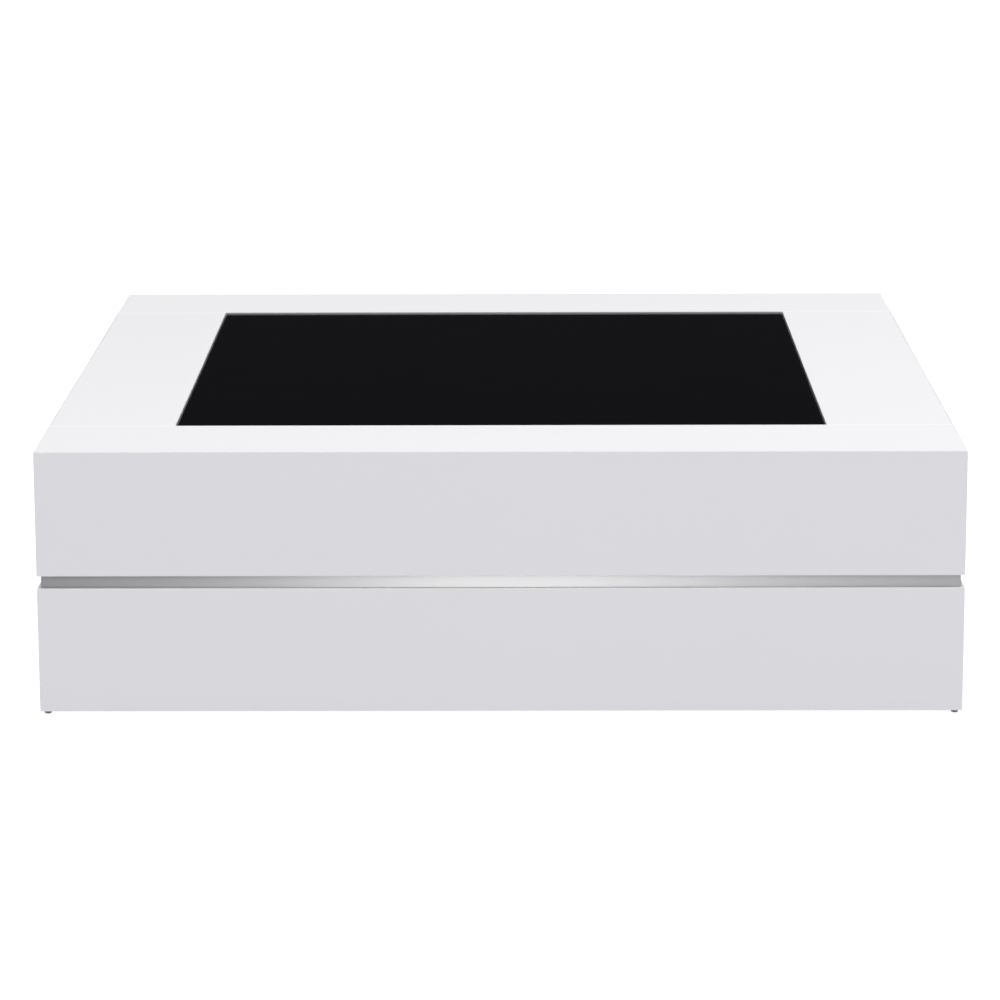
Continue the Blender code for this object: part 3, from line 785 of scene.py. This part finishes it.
def build_latch(material, dark):
    """Push latch: a body screwed to the well's front wall, and a plunger with a magnet in its tip."""
    dress("push_latch_body", material, LATCH_EDGE)
    low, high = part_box("push_latch_body")
    screw_places = [Vector((middle_of("push_latch_body").x, high.y, z))
                    for z in (low.z + LATCH_SCREW_IN, high.z - LATCH_SCREW_IN)]
    screws("push_latch_screws", screw_places, SIDES["rear"], "table")
    low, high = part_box("push_latch_plunger")
    head, ease = (high.x - low.x) / 2, PLUNGER_EASE
    foot, neck, groove = low.z - high.z, -PLUNGER_HEAD, -TIP_DEPTH
    profile = [(foot, PLUNGER_SHANK - SHANK_EASE), (foot + SHANK_EASE, PLUNGER_SHANK), (neck, PLUNGER_SHANK),
               (neck, head - ease), (neck + ease, head), (groove - TIP_GROOVE, head),
               (groove, head - TIP_GROOVE), (groove + TIP_GROOVE, head), (-ease, head),
               (-0.3 * ease, head - 0.4 * ease), (0.0, head - 1.2 * ease)]
    mesh = turned(profile, UP)
    place = Vector((middle_of("push_latch_plunger").x, middle_of("push_latch_plunger").y, high.z))
    smooth(add_piece("push_latch_plunger_tipped", mesh, dark, "latch_plunger",
                     ["push_latch_plunger"], place))
    low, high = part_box("latch_striker")
    rim = (high.x - low.x) / 2
    disc = [(0.0, rim - STRIKER_EASE), (STRIKER_EASE, rim), (high.z - low.z, rim)]
    place = Vector((middle_of("latch_striker").x, middle_of("latch_striker").y, low.z))
    smooth(add_piece("latch_striker_stamped", turned(disc, UP), finish("zinc"), "lid",
                     ["latch_striker"], place))


def build_buffers(material):
    """Domed rubber buffers on the ledge."""
    for end in ("front", "rear"):
        for hand in HANDS:
            node = f"{end}_{hand}_buffer"
            low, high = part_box(node)
            radius, height = (high.x - low.x) / 2, high.z - low.z
            side = BUFFER_SIDE
            dome = [(0.0, radius), (height * side, radius)]
            dome += [(height * (side + (1 - side) * math.sin(t)), radius * (side + (1 - side) * math.cos(t)))
                     for t in (math.radians(15 * k) for k in range(1, 7))]
            place = Vector((middle_of(node).x, middle_of(node).y, low.z))
            smooth(add_piece(f"{node}_domed", turned(dome, UP, 32), material, "table",
                             [node], place))


def build_glides(material):
    """Round glides knocked into the bottom edges at the corners, with a crowned foot."""
    for end in ("front", "rear"):
        for hand in HANDS:
            node = f"{end}_{hand}_glide"
            low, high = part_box(node)
            radius, height = (high.x - low.x) / 2, high.z - low.z
            foot = [(height * GLIDE_CROWN * (1 - math.sin(t)),
                     radius * (GLIDE_FLAT + (1 - GLIDE_FLAT) * math.cos(t)))
                    for t in (math.radians(15 * k) for k in range(6, -1, -1))]
            profile = foot + [(height, radius)]
            place = Vector((middle_of(node).x, middle_of(node).y, low.z))
            smooth(add_piece(f"{node}_crowned", turned(profile, UP, 36), material, "table",
                             [node], place))


# ---- Studio ----
FLOOR_REACH = 40.0
SKY_DIM, SKY_BRIGHT = 0.55, 0.92           # heights on a dome of 1, between which it grows bright
SOFT_BOXES = {                             # width and height, and place
    "band_softbox": ((0.85, 1.2), (0.0, -4.6, 0.7)),
    "band_fill": ((2.75, 1.2), (1.6, -4.6, 0.7)),
    "side_softbox": ((1.6, 1.6), (3.6, -0.6, 2.4)),
    "front_softbox": ((2.4, 1.2), (0.0, -4.4, 3.6)),
}
SENSOR_WIDTH = 36.0                        # millimetres


def build_floor(colour, glow):
    """A wide pale floor of opal acrylic, lit from below so that shadows stay faint."""
    mesh = bmesh.new()
    bmesh.ops.create_grid(mesh, x_segments=8, y_segments=8, size=FLOOR_REACH)
    material, tree, shader, place = new_material(
        "opal_acrylic_sheet", {"Roughness": 0.9, "Emission Color": (*colour, 1), "Emission Strength": glow})
    mottle(tree, shader, place, 1.5, colours=(colour, toned(colour, 1.01)))
    data = bpy.data.meshes.new("studio_floor")
    mesh.to_mesh(data)
    mesh.free()
    data.materials.append(material)
    floor = bpy.data.objects.new("studio_floor", data)
    bpy.context.scene.collection.objects.link(floor)


def build_sky(low_light, high_light, tint):
    """A soft dome of light: dim near the horizon, bright overhead."""
    world = bpy.data.worlds.new("soft_dome")
    world.use_nodes = True
    tree = world.node_tree
    background = tree.nodes["Background"]
    facing = add_node(tree, "ShaderNodeTexCoord").outputs["Generated"]
    height = add_node(tree, "ShaderNodeSeparateXYZ", {}, {0: facing}).outputs["Z"]
    strength = add_node(tree, "ShaderNodeMapRange",
                        {"interpolation_type": "SMOOTHSTEP", "From Min": SKY_DIM, "From Max": SKY_BRIGHT,
                         "To Min": low_light, "To Max": high_light}, {"Value": height}).outputs["Result"]
    background.inputs["Color"].default_value = (*tint, 1)
    tree.links.new(strength, background.inputs["Strength"])
    bpy.context.scene.world = world


def build_softbox(name, power, lit=()):
    """A rectangular soft box aimed at the middle of the table; if nodes are named, it lights only those."""
    size, place = SOFT_BOXES[name]
    light = bpy.data.lights.new(name, "AREA")
    light.shape = "RECTANGLE"
    light.size, light.size_y = size
    light.energy = power
    box = bpy.data.objects.new(name, light)
    bpy.context.scene.collection.objects.link(box)
    box.location = place
    box.rotation_euler = (Vector((0, 0, CASE_TOP / 2)) - Vector(place)).to_track_quat("-Z", "Y").to_euler()
    box.visible_camera = False
    if lit:
        only = bpy.data.collections.new(f"{name}_lights")
        for node in lit:
            only.objects.link(frame["nodes"][node])
        box.light_linking.receiver_collection = only


def build_camera(place, lens, drop, turn, tilt, roll):
    """A long lens a little above the table; it looks down by tilt, and drop lowers the frame."""
    data = bpy.data.cameras.new("camera")
    data.lens = lens
    data.sensor_width = SENSOR_WIDTH
    data.shift_y = -drop
    data.clip_end = 200.0
    camera = bpy.data.objects.new("camera", data)
    bpy.context.scene.collection.objects.link(camera)
    camera.matrix_world = (Matrix.Translation(place) @ Matrix.Rotation(turn, 4, "Z")
                           @ Matrix.Rotation(math.pi / 2 - tilt, 4, "X") @ Matrix.Rotation(roll, 4, "Z"))
    bpy.context.scene.camera = camera


# ---- Settings ----
def colour(name, hex_colour, description):
    """A colour that a user can change, from an sRGB hex value."""
    return bpy.props.FloatVectorProperty(name=name, description=description, default=linear(hex_colour),
                                         subtype="COLOR", min=0.0, max=1.0)


def length(name, metres, description):
    """A length that a user can change."""
    return bpy.props.FloatProperty(name=name, description=description, default=metres, unit="LENGTH",
                                   min=0.0, precision=5)


class TableFinishes(bpy.types.PropertyGroup):
    """The colours of the table's finishes."""
    lacquer: colour("Lacquer", "E4E4E6", "Sprayed white lacquer of both boxes")
    glass: colour("Glass", "05050A", "Black paint behind the lid's glass")
    glass_edge: colour("Glass edge", "12201B", "Ground edge of the lid's glass")
    strip: colour("Band", "A2A2A2", "Brushed strip between the boxes")
    melamine: colour("Melamine", "B9B9BA", "Board inside the well and under the lid")
    raw_board: colour("Raw board", "B79B74", "Unfaced board inside the lower box")
    zinc: colour("Zinc", "C9CBCC", "Plated steel of the lift")
    wire: colour("Spring wire", "55565A", "Tempered wire of the springs")
    rubber: colour("Rubber", "6C6C6E", "Glides and lid buffers")
    latch: colour("Latch", "9A9A9C", "Body of the push latch")
    plunger: colour("Plunger", "3A3A3C", "Plunger of the push latch")


class TableSizes(bpy.types.PropertyGroup):
    """The small sizes that the CAD leaves to the finish."""
    arris: length("Arris", 1.0 * MM, "Rounding of the white boxes' outer edges")
    opening_arris: length("Opening arris", 0.5 * MM, "Rounding round the lid's opening")
    joint_groove: length("Joint groove", 0.5 * MM, "Eased edge of the joints in the top")
    glass_arris: length("Glass arris", 0.6 * MM, "Polished edge of the lid's glass")
    board_edge: length("Board edge", 0.4 * MM, "Eased edges of the inner boards")
    link_edge: length("Link edge", 0.6 * MM, "Eased edges of the links")
    spring_turns: bpy.props.IntProperty(name="Spring turns", default=6, min=2, max=8,
                                        description="Turns of wire in each torsion spring")


class StudioSettings(bpy.types.PropertyGroup):
    """Floor, light and camera."""
    floor: colour("Floor", "767578", "Opal acrylic of the floor")
    floor_glow: bpy.props.FloatProperty(name="Floor glow", default=4.95, min=0.0,
                                        description="How strongly the floor is lit from below")
    tint: colour("Light tint", "FFFFFF", "Colour of the dome of light")
    low_light: bpy.props.FloatProperty(name="Low light", default=0.019, min=0.0,
                                       description="Strength of the dome near the horizon")
    high_light: bpy.props.FloatProperty(name="High light", default=2.27, min=0.0,
                                        description="Strength of the dome overhead")
    band_light: bpy.props.FloatProperty(name="Band light", default=42.5, min=0.0, subtype="POWER",
                                        description="Soft box in front, which lights only the band")
    band_fill: bpy.props.FloatProperty(name="Band fill", default=24.0, min=0.0, subtype="POWER",
                                       description="Wide soft box to its right, which lights only the band")
    front_light: bpy.props.FloatProperty(name="Front light", default=45.0, min=0.0, subtype="POWER",
                                         description="Soft box high in front")
    side_light: bpy.props.FloatProperty(name="Side light", default=28.0, min=0.0, subtype="POWER",
                                        description="Soft box high on the right")
    camera_place: bpy.props.FloatVectorProperty(
        name="Camera place", default=(0.0312, -5.2873, 1.3581), subtype="XYZ", unit="LENGTH",
        description="Where the camera stands")
    lens: bpy.props.FloatProperty(name="Lens", default=134.49, min=1.0, unit="CAMERA",
                                  description="Focal length for a 36 mm sensor")
    drop: bpy.props.FloatProperty(name="Drop", default=0.08, min=0.0, max=0.2,
                                  description="How far the frame is lowered, as a share of its width")
    turn: bpy.props.FloatProperty(name="Turn", default=math.radians(0.382), subtype="ANGLE",
                                  description="How far the camera is turned to the left")
    tilt: bpy.props.FloatProperty(name="Tilt", default=math.radians(11.655), subtype="ANGLE",
                                  description="How far the camera looks down")
    roll: bpy.props.FloatProperty(name="Roll", default=math.radians(-0.182), subtype="ANGLE",
                                  description="How far the camera leans")


FINISHED = {}                              # the materials made so far, by kind


def finish(kind):
    """The material of a finish, made once from its colour."""
    colours = bpy.context.scene.table_finishes
    makers = {
        "lacquer": sprayed_lacquer, "top_lacquer": lacquer_with_painted_joint_highlight,
        "glass": painted_glass, "glass_edge": ground_glass_edge,
        "strip": brushed_strip, "melamine": pressed_melamine, "raw_board": raw_particle_board,
        "zinc": zinc_plate, "wire": tempered_wire,
        "rubber": lambda tone: moulded_plastic("moulded_grey_rubber", tone, 0.60),
        "latch": lambda tone: moulded_plastic("moulded_acetal", tone, 0.45),
        "plunger": lambda tone: moulded_plastic("moulded_black_nylon", tone, 0.40),
    }
    if kind not in FINISHED:
        tone = colours.lacquer if kind == "top_lacquer" else getattr(colours, kind)
        FINISHED[kind] = makers[kind](tuple(tone))
    return FINISHED[kind]


# ---- Operators ----
class TABLE_OT_aprons(bpy.types.Operator):
    """Build the four aprons of the upper box"""
    bl_idname = "coffee_table.aprons"
    bl_label = "Aprons"

    def execute(self, context):
        build_aprons(context.scene.table_sizes.arris, finish("lacquer"))
        return {"FINISHED"}


class TABLE_OT_top(bpy.types.Operator):
    """Build the strips and panels of the top"""
    bl_idname = "coffee_table.top"
    bl_label = "Top"

    def execute(self, context):
        sizes = context.scene.table_sizes
        build_top(sizes.arris, sizes.opening_arris, sizes.joint_groove, finish("top_lacquer"))
        return {"FINISHED"}


class TABLE_OT_plinth(bpy.types.Operator):
    """Build the four panels of the lower box"""
    bl_idname = "coffee_table.plinth"
    bl_label = "Lower panels"

    def execute(self, context):
        build_plinth(context.scene.table_sizes.arris, finish("lacquer"))
        return {"FINISHED"}


class TABLE_OT_band(bpy.types.Operator):
    """Finish the metal strips between the boxes"""
    bl_idname = "coffee_table.band"
    bl_label = "Band"

    def execute(self, context):
        for side in SIDES:
            dress(f"band_{side}_strip", finish("strip"))
        return {"FINISHED"}


class TABLE_OT_well(bpy.types.Operator):
    """Finish the floor and walls of the storage well"""
    bl_idname = "coffee_table.well"
    bl_label = "Storage well"

    def execute(self, context):
        edge = context.scene.table_sizes.board_edge
        for node in ("upper_base_board", *(f"well_{side}_wall" for side in SIDES)):
            dress(node, finish("melamine"), edge)
        return {"FINISHED"}


class TABLE_OT_carcass(bpy.types.Operator):
    """Finish the hidden boards of the recess and the lower box"""
    bl_idname = "coffee_table.carcass"
    bl_label = "Hidden boards"

    def execute(self, context):
        edge = context.scene.table_sizes.board_edge
        hidden = ["lower_deck", *(f"lower_{hand}_partition" for hand in HANDS),
                  *(f"spacer_{side}_rail" for side in SIDES)]
        for node in hidden:
            dress(node, finish("raw_board"), edge)
        return {"FINISHED"}


class TABLE_OT_lid(bpy.types.Operator):
    """Build the glass lid and finish its board"""
    bl_idname = "coffee_table.lid"
    bl_label = "Lid"

    def execute(self, context):
        sizes = context.scene.table_sizes
        build_glass(sizes.glass_arris, finish("glass"), finish("glass_edge"))
        dress("lid_board", finish("melamine"), sizes.board_edge)
        return {"FINISHED"}


class TABLE_OT_brackets(bpy.types.Operator):
    """Build the brackets of the lift and their screws"""
    bl_idname = "coffee_table.brackets"
    bl_label = "Brackets"

    def execute(self, context):
        build_brackets(finish("zinc"))
        return {"FINISHED"}


class TABLE_OT_links(bpy.types.Operator):
    """Build the four links of the lift"""
    bl_idname = "coffee_table.links"
    bl_label = "Links"

    def execute(self, context):
        build_links(context.scene.table_sizes.link_edge, finish("zinc"))
        return {"FINISHED"}


class TABLE_OT_pins(bpy.types.Operator):
    """Build the pivot pins, the stop pins and the cross tube"""
    bl_idname = "coffee_table.pins"
    bl_label = "Pins and tube"

    def execute(self, context):
        build_pins(finish("zinc"))
        build_cross_tube(finish("zinc"))
        return {"FINISHED"}


class TABLE_OT_springs(bpy.types.Operator):
    """Build the torsion springs"""
    bl_idname = "coffee_table.springs"
    bl_label = "Springs"

    def execute(self, context):
        build_springs(context.scene.table_sizes.spring_turns, finish("wire"))
        return {"FINISHED"}


class TABLE_OT_latch(bpy.types.Operator):
    """Build the push latch and its striker"""
    bl_idname = "coffee_table.latch"
    bl_label = "Push latch"

    def execute(self, context):
        build_latch(finish("latch"), finish("plunger"))
        return {"FINISHED"}


class TABLE_OT_rubbers(bpy.types.Operator):
    """Build the lid buffers and the glides"""
    bl_idname = "coffee_table.rubbers"
    bl_label = "Buffers and glides"

    def execute(self, context):
        build_buffers(finish("rubber"))
        build_glides(finish("rubber"))
        return {"FINISHED"}


class TABLE_OT_studio(bpy.types.Operator):
    """Build the floor, the light and the camera"""
    bl_idname = "coffee_table.studio"
    bl_label = "Studio"

    def execute(self, context):
        studio = context.scene.studio
        build_floor(tuple(studio.floor), studio.floor_glow)
        build_sky(studio.low_light, studio.high_light, tuple(studio.tint))
        strips = [f"band_{side}_strip" for side in SIDES]
        build_softbox("band_softbox", studio.band_light, strips)
        build_softbox("band_fill", studio.band_fill, strips)
        build_softbox("side_softbox", studio.side_light)
        build_softbox("front_softbox", studio.front_light)
        build_camera(Vector(studio.camera_place), studio.lens, studio.drop, studio.turn, studio.tilt,
                     studio.roll)
        context.scene.view_settings.view_transform = "Standard"
        return {"FINISHED"}


PIECES = (TABLE_OT_aprons, TABLE_OT_top, TABLE_OT_plinth, TABLE_OT_band, TABLE_OT_well, TABLE_OT_carcass,
          TABLE_OT_lid, TABLE_OT_brackets, TABLE_OT_links, TABLE_OT_pins, TABLE_OT_springs, TABLE_OT_latch,
          TABLE_OT_rubbers, TABLE_OT_studio)


class TABLE_PT_sidebar(bpy.types.Panel):
    """Lists the pieces of the table and their settings"""
    bl_label = "Coffee Table"
    bl_idname = "TABLE_PT_sidebar"
    bl_space_type = "VIEW_3D"
    bl_region_type = "UI"
    bl_category = "Coffee Table"

    def draw(self, context):
        layout = self.layout
        for operator in PIECES:
            layout.operator(operator.bl_idname)
        for group in (context.scene.table_finishes, context.scene.table_sizes, context.scene.studio):
            box = layout.box()
            for name in group.__annotations__:
                box.prop(group, name)


CLASSES = (TableFinishes, TableSizes, StudioSettings, *PIECES, TABLE_PT_sidebar)


def register():
    """Make the settings, the operators and the panel known to Blender."""
    for cls in CLASSES:
        bpy.utils.register_class(cls)
    bpy.types.Scene.table_finishes = bpy.props.PointerProperty(type=TableFinishes)
    bpy.types.Scene.table_sizes = bpy.props.PointerProperty(type=TableSizes)
    bpy.types.Scene.studio = bpy.props.PointerProperty(type=StudioSettings)


def unregister():
    """Take them away again."""
    del bpy.types.Scene.table_finishes, bpy.types.Scene.table_sizes, bpy.types.Scene.studio
    for cls in reversed(CLASSES):
        bpy.utils.unregister_class(cls)


def main():
    """Build every piece."""
    register()
    for operator in PIECES:
        group, name = operator.bl_idname.split(".")
        getattr(getattr(bpy.ops, group), name)()


if __name__ == "__main__":
    main()
